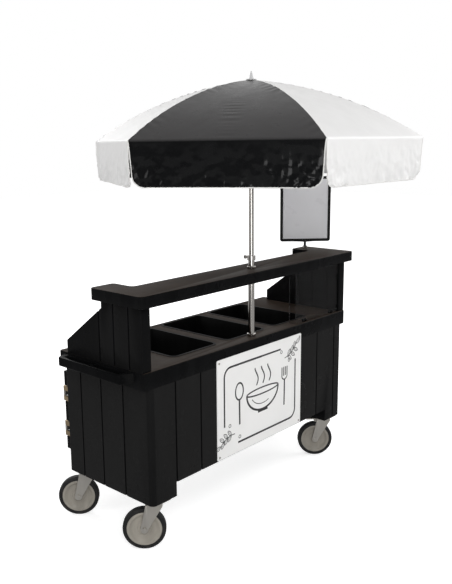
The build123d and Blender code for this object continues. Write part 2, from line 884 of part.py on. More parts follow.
# The canopy's curve, seen square to a panel: one arc from the apex down to the edge
canopy_chord = hypot(edge_distance, umbrella_rise)
canopy_radius = (canopy_chord / 2) ** 2 / (2 * canopy_sagitta) + canopy_sagitta / 2
arc_out = (canopy_sagitta - canopy_radius) / canopy_chord
arc_centre_u = edge_distance / 2 + umbrella_rise * arc_out
arc_centre_z = umbrella_apex - umbrella_rise / 2 + edge_distance * arc_out


def canopy_height(distance, inset=0):
    """Height of the canopy at a distance from the mast square to a panel's edge."""
    return arc_centre_z + sqrt((canopy_radius - inset) ** 2 - (distance - arc_centre_u) ** 2)


def rib_canopy_height(distance):
    """Height of the canopy over a rib, at a distance from the mast along the rib."""
    return canopy_height(distance * cos(radians(180 / rib_count)))


def mast_side_plane(angle):
    """An upright plane through the mast: its x axis points outwards at the angle."""
    outwards = Vector(cos(radians(angle)), sin(radians(angle)), 0)
    return Plane((0, mast_y, 0), x_dir=outwards, z_dir=(outwards.Y, -outwards.X, 0))


half_turn = 180 / rib_count
flap_bottom = umbrella_edge - flap_drop
canopy_panels = []
for index in range(rib_count):
    middle_angle = index * 2 * half_turn + half_turn
    side_plane = mast_side_plane(middle_angle)
    flat_plane = Plane((0, mast_y, 0), x_dir=side_plane.x_dir, z_dir=(0, 0, 1))
    reach = edge_distance + canopy_thickness
    with BuildPart() as panel:
        with BuildSketch(side_plane) as section:
            inner_edge = edge_distance - canopy_thickness
            inner_start = (canopy_hole, canopy_height(canopy_hole, canopy_thickness))
            inner_end = (inner_edge, canopy_height(inner_edge, canopy_thickness))
            middle = edge_distance / 2
            with BuildLine():
                ThreePointArc(
                    (canopy_hole, canopy_height(canopy_hole)),
                    (middle, canopy_height(middle)),
                    (edge_distance, canopy_height(edge_distance)),
                )
                Polyline(
                    (edge_distance, canopy_height(edge_distance)),
                    (edge_distance, flap_bottom),
                    (inner_edge, flap_bottom),
                    inner_end,
                )
                ThreePointArc(inner_end, (middle, canopy_height(middle, canopy_thickness)), inner_start)
                Line(inner_start, (canopy_hole, canopy_height(canopy_hole)))
            make_face()
        extrude(section.sketch, amount=umbrella_radius, both=True)
        with BuildSketch(flat_plane.offset(flap_bottom - 1)) as wedge:
            with BuildLine():
                spread = (reach - canopy_seam) * tan(radians(half_turn))
                Polyline((canopy_seam, 0), (reach, spread), (reach, -spread), close=True)
            make_face()
        extrude(wedge.sketch, amount=umbrella_apex - flap_bottom + 2, mode=Mode.INTERSECT)
        face_plane = Plane((0, mast_y, 0), x_dir=-side_plane.z_dir, z_dir=side_plane.x_dir)
        with BuildSketch(face_plane) as front_view:
            with Locations((0, (umbrella_apex + flap_bottom) / 2)):
                Rectangle(2 * spread, umbrella_rise + flap_drop)
            fillet(front_view.vertices().group_by(Axis.Z)[0], radius=flap_corner_radius)
        extrude(front_view.sketch, amount=reach, mode=Mode.INTERSECT)
    canopy_panels.append(panel)
save_group(canopy_panels[0::2], "canopy_white_panels")
save_group(canopy_panels[1::2], "canopy_black_panels")

# Umbrella hub with a slot and a pin for each rib
hub_middle = umbrella_apex - hub_below_apex
with BuildPart() as hub:
    rod(mast_plane, hub_disc_radius, hub_middle - hub_height / 2, hub_middle + hub_height / 2)
    for index in range(rib_count):
        side_plane = mast_side_plane(index * 2 * half_turn)
        slot_half = rib_width / 2 + slot_clearance
        with BuildSketch(side_plane.offset(-slot_half)) as slot:
            with BuildLine():
                slot_start = rib_pivot_radius - rib_eye_radius - slot_clearance
                Polyline(
                    (slot_start, hub_middle - hub_height),
                    (hub_disc_radius + 1, hub_middle - hub_height),
                    (hub_disc_radius + 1, hub_middle + hub_height),
                    (slot_start, hub_middle + hub_height),
                    close=True,
                )
            make_face()
        extrude(slot.sketch, amount=2 * slot_half, mode=Mode.SUBTRACT)
    for index in range(rib_count):
        side_plane = mast_side_plane(index * 2 * half_turn)
        pin_place = side_plane.from_local_coords((rib_pivot_radius, hub_middle, 0))
        pin_half = rib_width / 2 + pin_grip
        rod(Plane(pin_place, z_dir=side_plane.z_dir), pin_radius, -pin_half, pin_half)
    hub_bore = upper_mast_radius + running_gap
    rod(mast_plane, hub_bore, hub_middle - hub_height, hub_middle + hub_height, Mode.SUBTRACT)
save(hub, "umbrella_hub")

with BuildPart() as finial:
    rod(mast_plane, finial_disc_radius, umbrella_apex, umbrella_apex + finial_disc_height)
    with BuildSketch(mast_plane.offset(umbrella_apex + finial_disc_height)) as cone_foot:
        Circle(finial_cone_radius)
    with BuildSketch(mast_plane.offset(umbrella_apex + finial_height)) as cone_tip:
        Circle(finial_tip_radius)
    loft([cone_foot.sketch, cone_tip.sketch])
save(finial, "finial")

# Ribs, their stretchers and the runner. Each stretcher is pinned to its rib and rests in the runner
lug_height = rib_canopy_height(lug_radius) - rib_below_canopy - lug_drop
runner_height = lug_height - sqrt(stretcher_length**2 - (lug_radius - runner_pivot_radius) ** 2)
for index in range(rib_count):
    side_plane = mast_side_plane(index * 2 * half_turn)
    with BuildPart() as rib:
        with BuildSketch(side_plane.offset(-rib_width / 2)) as bar:
            middle = (rib_pivot_radius + rib_tip_radius) / 2
            points = (
                (rib_pivot_radius, hub_middle),
                (middle, rib_canopy_height(middle) - rib_below_canopy),
                (rib_tip_radius, rib_canopy_height(rib_tip_radius) - rib_below_canopy),
            )
            upper = [(x, z + rib_height / 2) for x, z in points]
            lower = [(x, z - rib_height / 2) for x, z in points]
            with BuildLine():
                ThreePointArc(*upper)
                Line(upper[2], lower[2])
                ThreePointArc(*reversed(lower))
                Line(lower[0], upper[0])
            make_face()
            with Locations(points[0]):
                Circle(rib_eye_radius)
                Circle(pin_radius + pin_clearance, mode=Mode.SUBTRACT)
        extrude(bar.sketch, amount=rib_width)
        for start in (-rib_width / 2 - lug_cheek, rib_width / 2):
            with BuildSketch(side_plane.offset(start)) as cheek:
                with Locations((lug_radius, lug_height + lug_drop / 2)):
                    Rectangle(2 * lug_eye_radius, lug_drop + rib_height / 2)
                with Locations((lug_radius, lug_height)):
                    Circle(lug_eye_radius)
            extrude(cheek.sketch, amount=lug_cheek)
        pin_place = side_plane.from_local_coords((lug_radius, lug_height, 0))
        pin_half = rib_width / 2 + lug_cheek
        rod(Plane(pin_place, z_dir=side_plane.z_dir), pin_radius, -pin_half, pin_half)
    save(rib, f"rib_{index + 1}")

    with BuildPart() as stretcher:
        stretcher_half = rib_width / 2 - stretcher_side_gap
        with BuildSketch(side_plane.offset(-stretcher_half)) as bar:
            run = (runner_pivot_radius - lug_radius, runner_height - lug_height)
            across = (
                -run[1] / stretcher_length * stretcher_height / 2,
                run[0] / stretcher_length * stretcher_height / 2,
            )
            with BuildLine():
                Polyline(
                    (lug_radius + across[0], lug_height + across[1]),
                    (runner_pivot_radius + across[0], runner_height + across[1]),
                    (runner_pivot_radius - across[0], runner_height - across[1]),
                    (lug_radius - across[0], lug_height - across[1]),
                    close=True,
                )
            make_face()
            with Locations((lug_radius, lug_height), (runner_pivot_radius, runner_height)):
                Circle(lug_eye_radius)
            with Locations((lug_radius, lug_height)):
                Circle(pin_radius + pin_clearance, mode=Mode.SUBTRACT)
        extrude(bar.sketch, amount=2 * stretcher_half)
    save(stretcher, f"stretcher_{index + 1}")

with BuildPart() as runner:
    sleeve_low = runner_height - runner_sleeve_down
    sleeve_high = runner_height + runner_sleeve_up
    rod(mast_plane, runner_sleeve_radius, sleeve_low, sleeve_high)
    rod(
        mast_plane,
        runner_disc_radius,
        runner_height - runner_disc_height / 2,
        runner_height + runner_disc_height / 2,
    )
    for index in range(rib_count):
        side_plane = mast_side_plane(index * 2 * half_turn)
        slot_half = rib_width / 2
        with BuildSketch(side_plane.offset(-slot_half)) as slot:
            with BuildLine():
                slot_start = runner_pivot_radius - lug_eye_radius - slot_clearance
                slot_low = runner_height - runner_disc_height
                slot_high = runner_height + runner_disc_height
                Polyline(
                    (slot_start, slot_low),
                    (runner_disc_radius + 1, slot_low),
                    (runner_disc_radius + 1, slot_high),
                    (slot_start, slot_high),
                    close=True,
                )
            make_face()
        extrude(slot.sketch, amount=2 * slot_half, mode=Mode.SUBTRACT)
    rod(mast_plane, upper_mast_radius + mast_bore_clearance, sleeve_low, sleeve_high, Mode.SUBTRACT)
save(runner, "umbrella_runner")

# Sign: a tube frame on a stem, a blank panel inside it and a socket on the shelf
across = Vector(cos(radians(sign_facing)), sin(radians(sign_facing)), 0)
sign_face = Plane((sign_x, sign_y, 0), x_dir=across, z_dir=(across.Y, -across.X, 0))
sign_middle = shelf_top + sign_stand_off + sign_height / 2
with BuildPart() as sign_socket:
    rod(sign_plane, sign_socket_radius, shelf_top, shelf_top + sign_socket_height)
    rod(sign_plane, stem_radius + stem_clearance, shelf_top, shelf_top + sign_socket_height, Mode.SUBTRACT)
save_group((collars, sign_socket), "pole_collars")

with BuildPart() as sign_frame:
    with BuildSketch(sign_face.offset(-sign_frame_depth / 2)) as outline:
        with Locations((0, sign_middle)):
            RectangleRounded(sign_width, sign_height, sign_corner_radius)
            RectangleRounded(
                sign_width - 2 * sign_bar,
                sign_height - 2 * sign_bar,
                sign_corner_radius / 4,
                mode=Mode.SUBTRACT,
            )
    extrude(outline.sketch, amount=sign_frame_depth)
    stem_foot = shelf_top - sign_socket_depth + swivel_gap
    rod(sign_plane, stem_radius, stem_foot, shelf_top + sign_stand_off + sign_bar / 2)
save(sign_frame, "sign_frame")

with BuildPart() as sign_panel:
    with BuildSketch(sign_face.offset(-sign_panel_thickness / 2)) as board:
        with Locations((0, sign_middle)):
            RectangleRounded(
                sign_width - 2 * sign_bar - 2 * sign_panel_gap,
                sign_height - 2 * sign_bar - 2 * sign_panel_gap,
                sign_corner_radius / 4,
            )
    extrude(board.sketch, amount=sign_panel_thickness)
save(sign_panel, "sign_panel")

print("hub", hub_middle, "lug", lug_radius, lug_height, "runner", runner_height)
print("hinge axis", hinge_axis_x, hinge_axis_y, "pedal pivot", pivot_height, "mast bottom", mast_bottom)
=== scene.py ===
import bpy
import json
from math import cos, exp, hypot, pi, radians, sin, sqrt, tan
from mathutils import Matrix, Vector, noise


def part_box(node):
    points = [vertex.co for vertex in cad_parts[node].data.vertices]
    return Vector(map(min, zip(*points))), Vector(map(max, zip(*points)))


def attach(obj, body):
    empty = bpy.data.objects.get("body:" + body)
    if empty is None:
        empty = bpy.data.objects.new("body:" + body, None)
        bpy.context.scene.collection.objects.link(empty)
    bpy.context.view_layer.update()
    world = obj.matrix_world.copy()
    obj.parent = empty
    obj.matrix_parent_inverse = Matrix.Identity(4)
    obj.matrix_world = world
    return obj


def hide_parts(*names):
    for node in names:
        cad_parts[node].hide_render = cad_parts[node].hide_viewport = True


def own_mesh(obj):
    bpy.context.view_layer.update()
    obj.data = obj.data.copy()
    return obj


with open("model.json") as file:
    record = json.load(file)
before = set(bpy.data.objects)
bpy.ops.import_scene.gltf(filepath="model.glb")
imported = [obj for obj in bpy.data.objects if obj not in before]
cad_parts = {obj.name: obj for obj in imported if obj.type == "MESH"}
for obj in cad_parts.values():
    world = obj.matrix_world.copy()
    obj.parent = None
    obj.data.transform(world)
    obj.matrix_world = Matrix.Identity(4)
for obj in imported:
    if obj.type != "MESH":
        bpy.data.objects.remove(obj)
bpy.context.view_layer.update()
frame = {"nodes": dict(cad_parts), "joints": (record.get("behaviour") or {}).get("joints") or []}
nodes = frame["nodes"]
bpy.ops.object.select_all(action="DESELECT")

# The photograph's camera, found from the cart's own corners
frame_height_px = 584
lens_px = 729.95
shift_px = (25.21, -7.82)
camera_place = Vector((-2.8204, -2.2754, 1.8472))
camera_yaw = 0.8215
camera_pitch = 0.1916
camera_roll = -0.0137
sensor_mm = 36

# Umbrella, in metres, as the frame has it
rib_count = 6
half_turn = radians(180 / rib_count)
apex_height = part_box("mast_upper_tube")[1][2]
umbrella_radius = 0.8
edge_distance = umbrella_radius * cos(half_turn)
flap_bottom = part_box("canopy_white_panels")[0][2]
flap_drop = 0.19
edge_height = flap_bottom + flap_drop
canopy_sagitta = 0.051
canopy_hole = 0.014
cloth_gauge = 0.001
panel_sag = 0.007
flap_corner = 0.05
flap_gap = 0.013
piping_radius = 0.0026
black_sectors = (1, 3, 5)


def activate(piece):
    """Select one object alone and make it the active one."""
    bpy.ops.object.select_all(action="DESELECT")
    piece.select_set(True)
    bpy.context.view_layer.objects.active = piece


def apply_place(piece):
    """Put the piece's place into its mesh."""
    activate(piece)
    bpy.ops.object.transform_apply(location=True, rotation=True, scale=True)


def finish_modifier(piece, kind, **settings):
    """Add a modifier with its settings and apply it."""
    activate(piece)
    modifier = piece.modifiers.new(kind.title(), kind)
    for key, value in settings.items():
        setattr(modifier, key, value)
    bpy.ops.object.modifier_apply(modifier=modifier.name)


def smooth(piece, angle=35):
    """Smooth shading with sharp edges past an angle."""
    activate(piece)
    bpy.ops.object.shade_smooth_by_angle(angle=radians(angle))


def dress(piece, material):
    """Give the piece one material."""
    piece.data.materials.clear()
    piece.data.materials.append(material)


def settle(piece, name, material, body, node=()):
    """Name a finished piece, give it its material and let it ride."""
    piece.name = name
    dress(piece, material)
    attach(piece, body)
    if node:
        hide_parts(*node)
    return piece


# Materials. Each is a Principled shader with a small pattern in the object's coordinates, or in the cloth's own


def new_material(name, colour, roughness, metallic=0.0, **sockets):
    """A Principled material with plain values on its sockets; returns it and its shader."""
    material = bpy.data.materials.new(name)
    material.use_nodes = True
    shader = material.node_tree.nodes["Principled BSDF"]
    shader.inputs["Base Color"].default_value = (*colour, 1)
    shader.inputs["Roughness"].default_value = roughness
    shader.inputs["Metallic"].default_value = metallic
    for key, value in sockets.items():
        shader.inputs[key.replace("_", " ")].default_value = value
    return material, shader


def link(material, source, target):
    """Join two sockets of the material's tree."""
    material.node_tree.links.new(source, target)


def add_node(material, kind, **settings):
    """Add a shader node and set its properties or its input values."""
    made = material.node_tree.nodes.new(kind)
    for key, value in settings.items():
        if hasattr(made, key):
            setattr(made, key, value)
        else:
            made.inputs[key.replace("_", " ")].default_value = value
    return made


def stretched_place(material, scale, uv=False):
    """The object's own coordinates, or the piece's UV map, scaled along each axis."""
    coordinates = add_node(material, "ShaderNodeTexCoord")
    mapping = add_node(material, "ShaderNodeMapping", Scale=scale)
    link(material, coordinates.outputs["UV" if uv else "Object"], mapping.inputs["Vector"])
    return mapping.outputs["Vector"]


def noise_field(material, place, scale, detail=4.0, roughness=0.55):
    """Soft noise over a place, from 0 to 1."""
    field = add_node(material, "ShaderNodeTexNoise", Scale=scale, Detail=detail, Roughness=roughness)
    link(material, place, field.inputs["Vector"])
    return field.outputs["Fac"]


def ramp(material, value, low, high, bottom, top):
    """A value between low and high turned to a number between bottom and top."""
    made = add_node(material, "ShaderNodeMapRange")
    for key, number in (("From Min", low), ("From Max", high), ("To Min", bottom), ("To Max", top)):
        made.inputs[key].default_value = number
    link(material, value, made.inputs["Value"])
    return made.outputs["Result"]


def mix_colours(material, factor, first, second):
    """Mix two colours, each a colour or an output."""
    made = add_node(material, "ShaderNodeMix", data_type="RGBA")
    link(material, factor, made.inputs["Factor"])
    for socket, colour in ((6, first), (7, second)):
        if isinstance(colour, tuple):
            made.inputs[socket].default_value = (*colour, 1)
        else:
            link(material, colour, made.inputs[socket])
    return made.outputs[2]


def add_bump(material, shader, height, strength, distance, below=None):
    """Small relief on the shader, over the relief below it where there is one."""
    bump = add_node(material, "ShaderNodeBump", Strength=strength, Distance=distance)
    link(material, height, bump.inputs["Height"])
    if below is not None:
        link(material, below, bump.inputs["Normal"])
    link(material, bump.outputs["Normal"], shader.inputs["Normal"])
    return bump.outputs["Normal"]


def vary(material, shader, colour, other, place, scale, low=0.35, high=0.7):
    """Let the colour drift between two shades in soft patches."""
    patches = ramp(material, noise_field(material, place, scale), low, high, 0, 1)
    mixed = mix_colours(material, patches, colour, other)
    link(material, mixed, shader.inputs["Base Color"])
    return mixed


def moulded_plastic(name, colour, scuffed_and_highlit, roughness=0.42, grain=420.0, sheen=0.018, dust_and_sheen_above=None):
    """Rotomoulded polyethylene: fine grain, soft patches, paler edges that are partly rubbed wear and partly a painted
    highlight, and a flat top painted with dust and a sheen.
    """
    material, shader = new_material(name, colour, roughness, Specular_IOR_Level=sheen)
    place = stretched_place(material, (1, 1, 1))
    streaks = stretched_place(material, (9, 9, 1.2))
    drift = vary(material, shader, colour, tuple(c * 1.4 + 0.0006 for c in colour), streaks, 1.6)
    edges = add_node(material, "ShaderNodeNewGeometry").outputs["Pointiness"]
    # Convex edges turn paler: partly rubbed wear, partly a painted highlight for the gloss on rounded edges
    rubbed_and_highlit = ramp(material, edges, 0.53, 0.6, 0, 0.4)
    colours = mix_colours(material, rubbed_and_highlit, drift, scuffed_and_highlit)
    if dust_and_sheen_above:
        split = add_node(material, "ShaderNodeSeparateXYZ")
        link(material, place, split.inputs["Vector"])
        height = split.outputs["Z"]
        # The flat top turns paler brown-grey: partly dust, partly a painted sheen for its reflection
        top = ramp(material, height, dust_and_sheen_above - dust_and_sheen_starts, dust_and_sheen_above - dust_and_sheen_full, 0, 1)
        dust_and_sheen = mix_colours(material, noise_field(material, place, 3.0), top_dust_and_sheen, top_haze_and_sheen)
        colours = mix_colours(material, top, colours, dust_and_sheen)
    link(material, colours, shader.inputs["Base Color"])
    gloss = ramp(material, noise_field(material, place, 7.0), 0.3, 0.7, roughness - 0.05, roughness + 0.07)
    if dust_and_sheen_above:
        dull = add_node(material, "ShaderNodeMath", operation="MAXIMUM")
        link(material, gloss, dull.inputs[0])
        link(material, ramp(material, top, 0, 1, 0, dusty_roughness), dull.inputs[1])
        gloss = dull.outputs[0]
    link(material, gloss, shader.inputs["Roughness"])
    waves = add_bump(material, shader, noise_field(material, streaks, 2.2, 2.0), 0.25, 0.004)
    add_bump(material, shader, noise_field(material, place, grain, 2.0), 0.18, 0.0006, waves)
    return material


def printed_board(name, colour, other, roughness):
    """A smooth printed sheet with a faint drift of shade."""
    material, shader = new_material(name, colour, roughness)
    place = stretched_place(material, (1, 1, 1))
    vary(material, shader, colour, other, place, 3.0)
    gloss = ramp(material, noise_field(material, place, 12.0), 0.3, 0.7, roughness - 0.04, roughness + 0.06)
    link(material, gloss, shader.inputs["Roughness"])
    add_bump(material, shader, noise_field(material, place, 90.0, 2.0), 0.08, 0.0006)
    return material


def coated_metal(name, colour, other, roughness, metallic=1.0, along=(1, 1, 1), scratch=0.12, scale=60.0):
    """Plated or brushed steel with faint marks drawn out along one axis."""
    material, shader = new_material(name, colour, roughness, metallic)
    place = stretched_place(material, along)
    vary(material, shader, colour, other, place, scale / 8)
    gloss = ramp(material, noise_field(material, place, scale), 0.3, 0.7, roughness - 0.05, roughness + 0.09)
    link(material, gloss, shader.inputs["Roughness"])
    add_bump(material, shader, noise_field(material, place, scale * 4, 3.0), scratch, 0.0004)
    return material


def coated_cloth(name, colour, other, roughness, coat, sheen, painted_sheen_top=None):
    """Vinyl-coated umbrella cloth: a fine weave under a glossy skin, with small creases and, where given, an upper
    part painted lighter as a painted sheen.
    """
    material, shader = new_material(
        name, colour, roughness, Coat_Weight=coat, Coat_Roughness=0.12, Specular_IOR_Level=sheen
    )
    place = stretched_place(material, (1, 1, 1), uv=True)
    drift = vary(material, shader, colour, other, place, 6.0)
    if painted_sheen_top:
        split = add_node(material, "ShaderNodeSeparateXYZ")
        link(material, place, split.inputs["Vector"])
        # The upper cloth is painted lighter than the flap: a painted sheen for the light it reflects
        upper = ramp(material, split.outputs["Y"], edge_distance - 0.002, edge_distance + 0.006, 1, 0)
        link(material, mix_colours(material, upper, drift, painted_sheen_top), shader.inputs["Base Color"])
    gloss = ramp(material, noise_field(material, place, 16.0), 0.3, 0.7, roughness - 0.06, roughness + 0.1)
    link(material, gloss, shader.inputs["Roughness"])
    creases = add_bump(material, shader, noise_field(material, place, 30.0, 5.0, 0.65), 0.3, 0.003)
    weave = add_node(material, "ShaderNodeTexWave", Scale=260.0, Distortion=0.6)
    weave.bands_direction = "DIAGONAL"
    link(material, place, weave.inputs["Vector"])
    add_bump(material, shader, weave.outputs["Fac"], 0.06, 0.0004, creases)
    return material


def rubber_tread(name):
    """Dark rubber with dusty patches."""
    material, shader = new_material(name, (0.014, 0.014, 0.0145), 0.6, Specular_IOR_Level=0.2)
    place = stretched_place(material, (1, 1, 1))
    vary(material, shader, (0.012, 0.012, 0.0125), (0.035, 0.033, 0.031), place, 22.0, 0.45, 0.8)
    add_bump(material, shader, noise_field(material, place, 600.0, 2.0), 0.25, 0.0005)
    return material


def clear_sheet(name):
    """Clear acrylic: nearly all of the light passes, and the faces still gleam."""
    material, shader = new_material(
        name, (0.8, 0.8, 0.81), 0.05, Transmission_Weight=1.0, IOR=1.12, Specular_IOR_Level=0.5
    )
    place = stretched_place(material, (1, 1, 1))
    smears = ramp(material, noise_field(material, place, 9.0), 0.45, 0.8, 0.03, 0.09)
    link(material, smears, shader.inputs["Roughness"])
    return material


# Dust and a painted sheen lie on the flat tops, from this far below their level
dust_and_sheen_starts = 0.0012
dust_and_sheen_full = 0.0002
dusty_roughness = 0.5
# Colours of the dusty top, which also stand for a painted sheen on it
top_dust_and_sheen = (0.02, 0.0145, 0.011)
top_haze_and_sheen = (0.055, 0.041, 0.032)
# Paler colour of the rubbed edges, which is also a painted highlight on them
edge_scuff_and_highlight = (0.03, 0.0295, 0.029)
top_black = (0.0038, 0.0039, 0.0042)
counter_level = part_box("counter_top")[1][2]
shelf_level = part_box("customer_shelf")[1][2]
black_plastic = moulded_plastic("black_moulded_plastic", (0.003, 0.0031, 0.0034), edge_scuff_and_highlight, 0.24)
counter_plastic = moulded_plastic(
    "black_counter_plastic", top_black, edge_scuff_and_highlight, 0.26, sheen=0.025, dust_and_sheen_above=counter_level
)
shelf_plastic = moulded_plastic(
    "black_shelf_plastic", top_black, edge_scuff_and_highlight, 0.26, sheen=0.025, dust_and_sheen_above=shelf_level
)
door_plastic = moulded_plastic("black_door_plastic", (0.0034, 0.0034, 0.0036), edge_scuff_and_highlight, 0.28)
liner_plastic = moulded_plastic("well_liner_plastic", (0.005, 0.005, 0.005), edge_scuff_and_highlight, 0.4, 250.0)
wheel_plastic = moulded_plastic("grey_wheel_plastic", (0.25, 0.232, 0.2), (0.36, 0.34, 0.31), 0.38, 300.0, 0.3)
frame_plastic = moulded_plastic("dark_sign_frame", (0.014, 0.0137, 0.014), (0.04, 0.04, 0.04), 0.4, sheen=0.12)
white_plastic = moulded_plastic("white_cap_plastic", (0.78, 0.78, 0.77), (0.85, 0.85, 0.85), 0.35, sheen=0.4)
# The finial's white cap is painted grey all over: painted shade, so that it shows against the white behind it
shaded_cap_plastic = moulded_plastic("shaded_white_cap_plastic", (0.5, 0.5, 0.505), (0.6, 0.6, 0.6), 0.35, sheen=0.4)
zinc_plate = coated_metal("zinc_plated_steel", (0.52, 0.495, 0.455), (0.4, 0.385, 0.36), 0.36, 0.9, (1, 1, 0.3))
chrome_tube = coated_metal("chromed_tube", (0.55, 0.53, 0.505), (0.5, 0.475, 0.45), 0.1, 1.0, (1, 1, 0.05), 0.0)
brass_hinge = coated_metal("brass_hinge", (0.45, 0.345, 0.21), (0.33, 0.25, 0.16), 0.3, 1.0, (1, 1, 0.5))
rib_paint = coated_metal("painted_rib_steel", (0.6, 0.6, 0.6), (0.5, 0.5, 0.5), 0.4, 0.3)
chassis_paint = coated_metal("painted_chassis_steel", (0.05, 0.05, 0.05), (0.08, 0.075, 0.07), 0.5, 0.2)
tyre_rubber = rubber_tread("tyre_rubber")
shield_clear = clear_sheet("clear_acrylic")
white_cloth = coated_cloth("white_canopy_cloth", (0.8, 0.795, 0.79), (0.76, 0.755, 0.75), 0.5, 0.1, 0.4)
# The black cloth's last colour paints its upper part lighter, a painted sheen
black_cloth = coated_cloth(
    "black_canopy_cloth", (0.0035, 0.0036, 0.004), (0.005, 0.0052, 0.0056), 0.3, 0.3, 0.03, (0.05, 0.0485, 0.049)
)
piping_white = coated_cloth("white_piping", (0.78, 0.775, 0.76), (0.68, 0.67, 0.65), 0.5, 0.1, 0.4)
banner_print = printed_board("banner_board", (0.84, 0.835, 0.825), (0.8, 0.795, 0.785), 0.4)
ink_line = printed_board("black_ink", (0.012, 0.012, 0.013), (0.022, 0.022, 0.023), 0.4)
sign_sheet = printed_board("sign_sheet", (0.86, 0.85, 0.88), (0.9, 0.9, 0.92), 0.3)


# Pieces carried over from the frame: a merged copy with softened edges stands for the node


def body_skin(place):
    """Whether a place lies on the outer face of the body, below the strip that the counter hides."""
    low, high = body_box
    inward = min(place.x - low[0], high[0] - place.x, place.y - low[1], high[1] - place.y)
    return inward < body_skin_depth and place.z < high[2] - hidden_strip


def soft_edged(node, material, body, width, segments=2, angle=32, chosen=None):
    """A merged copy of a CAD node with its sharp edges rounded, riding on the same body."""
    source = nodes[node]
    piece = source.copy()
    piece.data = source.data.copy()
    for key in list(piece.keys()):
        del piece[key]
    bpy.context.collection.objects.link(piece)
    piece.parent = None
    piece.matrix_world = Matrix.Identity(4)
    activate(piece)
    bpy.ops.mesh.customdata_custom_splitnormals_clear()
    bpy.ops.object.mode_set(mode="EDIT")
    bpy.ops.mesh.select_all(action="SELECT")
    bpy.ops.mesh.remove_doubles(threshold=0.00002)
    bpy.ops.mesh.dissolve_limited(angle_limit=radians(0.4))
    bpy.ops.mesh.select_mode(type="EDGE")
    bpy.ops.mesh.select_all(action="DESELECT")
    bpy.ops.mesh.edges_select_sharp(sharpness=radians(angle))
    bpy.ops.object.mode_set(mode="OBJECT")
    if chosen:
        places = piece.data.vertices
        kept = [
            edge for edge in piece.data.edges
            if edge.select and all(chosen(places[end].co) for end in edge.vertices)
        ]
        for part in (*piece.data.vertices, *piece.data.edges, *piece.data.polygons):
            part.select = False
        for edge in kept:
            edge.select = True
    bpy.ops.object.mode_set(mode="EDIT")
    bpy.ops.mesh.bevel(offset=width, segments=segments, affect="EDGES", clamp_overlap=False)
    bpy.ops.mesh.select_mode(type="VERT")
    bpy.ops.object.mode_set(mode="OBJECT")
    smooth(piece)
    return settle(piece, node + "_shaped", material, body, node=(node,))


body_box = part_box("body_shell")
body_skin_depth = 0.009
hidden_strip = 0.006
caster_corners = ("front_left", "front_right", "back_left", "back_right")
braked_corners = ("front_right", "back_right")
soft_edged("body_shell", black_plastic, "cart", 0.0016, chosen=body_skin)
soft_edged("counter_top", counter_plastic, "cart", 0.0012)
soft_edged("end_guard_left", black_plastic, "cart", 0.0014)
soft_edged("end_guard_right", black_plastic, "cart", 0.0014)
soft_edged("customer_shelf", shelf_plastic, "cart", 0.0014)
soft_edged("end_handles", black_plastic, "cart", 0.0016)
soft_edged("door_left", door_plastic, "door_left", 0.0014)
soft_edged("door_right", door_plastic, "door_right", 0.0014)
soft_edged("sign_frame", frame_plastic, "sign", 0.003, 3)
for corner in caster_corners:
    soft_edged(f"caster_fork_{corner}", zinc_plate, f"caster_{corner}", 0.0008)
for corner in braked_corners:
    soft_edged(f"brake_pedal_{corner}", zinc_plate, f"brake_{corner}", 0.0008)

plain_finishes = {
    "cupboard_divider": door_plastic,
    "chassis_frame": chassis_paint,
    "well_liners": liner_plastic,
    "clear_shield": shield_clear,
    "shield_clips": black_plastic,
    "front_banner": banner_print,
    "banner_screws": zinc_plate,
    "hinge_posts": brass_hinge,
    "hinge_leaves_left": zinc_plate,
    "hinge_leaves_right": zinc_plate,
    "door_pull_left": zinc_plate,
    "door_pull_right": zinc_plate,
    "caster_plates": zinc_plate,
    "caster_bolts": zinc_plate,
    "mast_socket": chassis_paint,
    "pole_collars": chrome_tube,
    "mast_lower_tube": chrome_tube,
    "mast_upper_tube": chrome_tube,
    "mast_clamp": chrome_tube,
    "umbrella_hub": white_plastic,
    "umbrella_runner": white_plastic,
    "finial": shaded_cap_plastic,
    "sign_panel": sign_sheet,
}
for corner in caster_corners:
    plain_finishes[f"caster_wheel_{corner}"] = wheel_plastic
    plain_finishes[f"caster_tyre_{corner}"] = tyre_rubber
for number in range(1, rib_count + 1):
    plain_finishes[f"rib_{number}"] = rib_paint
    plain_finishes[f"stretcher_{number}"] = rib_paint
for node, material in plain_finishes.items():
    dress(nodes[node], material)


# Caster wheels: a dished disc with a raised hub, spun about its axle


def spin_profile(profile, centre, axis, steps=72):
    """A closed shape spun from (radius, along) points about an axis through a centre."""
    bpy.ops.mesh.primitive_plane_add(size=0.01)
    piece = bpy.context.object
    bpy.ops.object.mode_set(mode="EDIT")
    bpy.ops.mesh.select_all(action="SELECT")
    bpy.ops.mesh.merge(type="CENTER")
    bpy.ops.transform.translate(value=(profile[0][0], 0, profile[0][1]))
    for before, after in zip(profile, profile[1:]):
        step = (after[0] - before[0], 0, after[1] - before[1])
        bpy.ops.mesh.extrude_region_move(TRANSFORM_OT_translate={"value": step})
    bpy.ops.mesh.select_all(action="SELECT")
    bpy.ops.mesh.spin(steps=steps, angle=2 * pi, center=(0, 0, 0), axis=(0, 0, 1))
    bpy.ops.mesh.select_all(action="SELECT")
    bpy.ops.mesh.remove_doubles(threshold=0.00001)
    bpy.ops.mesh.normals_make_consistent(inside=False)
    bpy.ops.object.mode_set(mode="OBJECT")
    piece.matrix_world = Matrix.Translation(centre) @ Vector(axis).to_track_quat("Z", "Y").to_matrix().to_4x4()
    apply_place(piece)
    smooth(piece, 32)
    return piece


